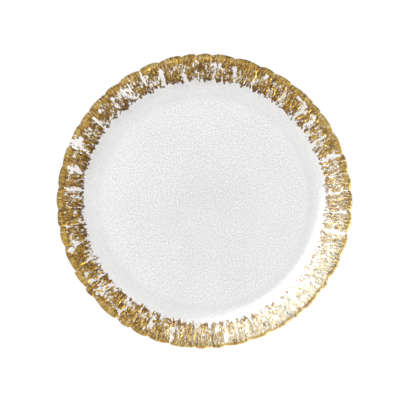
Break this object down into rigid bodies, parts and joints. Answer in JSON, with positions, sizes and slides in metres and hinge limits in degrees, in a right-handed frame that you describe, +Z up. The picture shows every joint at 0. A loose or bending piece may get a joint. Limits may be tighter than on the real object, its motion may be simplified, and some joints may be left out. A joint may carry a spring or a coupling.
{
  "type": "salad plate",
  "caption": "Round clear glass salad plate with a flat pebbled well, a coved shoulder and a bark-textured, lobed rim gilded on its underside with broken gold leaf.",
  "frame": {"origin": "middle of the flat base, on the surface that the plate stands on", "axes": "+Z up out of the well; +X to the right and +Y away in the picture, which looks down on the plate"},
  "size_m": [0.2154, 0.2148, 0.0164],
  "materials": {
    "clear_glass": "fire-polished above, pebbled under the well and bark-textured under the rim",
    "gold_leaf": "bright gold leaf, broken and a little worn, seen through the glass"
  },
  "bodies": {
    "root": {"glass_plate": "clear_glass", "gilt_leaf_01": "gold_leaf", "gilt_leaf_02": "gold_leaf", "gilt_leaf_03": "gold_leaf", "gilt_leaf_04": "gold_leaf", "gilt_leaf_05": "gold_leaf", "gilt_leaf_06": "gold_leaf", "gilt_leaf_07": "gold_leaf", "gilt_leaf_08": "gold_leaf", "gilt_leaf_09": "gold_leaf", "gilt_leaf_10": "gold_leaf", "gilt_leaf_11": "gold_leaf", "gilt_leaf_12": "gold_leaf", "gilt_leaf_13": "gold_leaf", "gilt_leaf_14": "gold_leaf", "gilt_leaf_15": "gold_leaf", "gilt_leaf_16": "gold_leaf", "gilt_leaf_17": "gold_leaf", "gilt_leaf_18": "gold_leaf", "gilt_leaf_19": "gold_leaf", "gilt_leaf_20": "gold_leaf", "gilt_leaf_21": "gold_leaf", "gilt_leaf_22": "gold_leaf", "gilt_leaf_23": "gold_leaf", "gilt_leaf_24": "gold_leaf", "gilt_leaf_25": "gold_leaf", "gilt_leaf_26": "gold_leaf", "gilt_leaf_27": "gold_leaf", "gilt_leaf_28": "gold_leaf", "gilt_leaf_29": "gold_leaf", "gilt_leaf_30": "gold_leaf", "gilt_leaf_31": "gold_leaf", "gilt_leaf_32": "gold_leaf", "gilt_leaf_33": "gold_leaf", "gilt_leaf_34": "gold_leaf", "gilt_leaf_35": "gold_leaf", "gilt_leaf_36": "gold_leaf", "gilt_leaf_37": "gold_leaf", "gilt_leaf_38": "gold_leaf", "gilt_leaf_39": "gold_leaf", "gilt_leaf_40": "gold_leaf", "gilt_leaf_41": "gold_leaf", "gilt_leaf_42": "gold_leaf", "gilt_leaf_43": "gold_leaf", "gilt_leaf_44": "gold_leaf"}
  },
  "joints": []
}
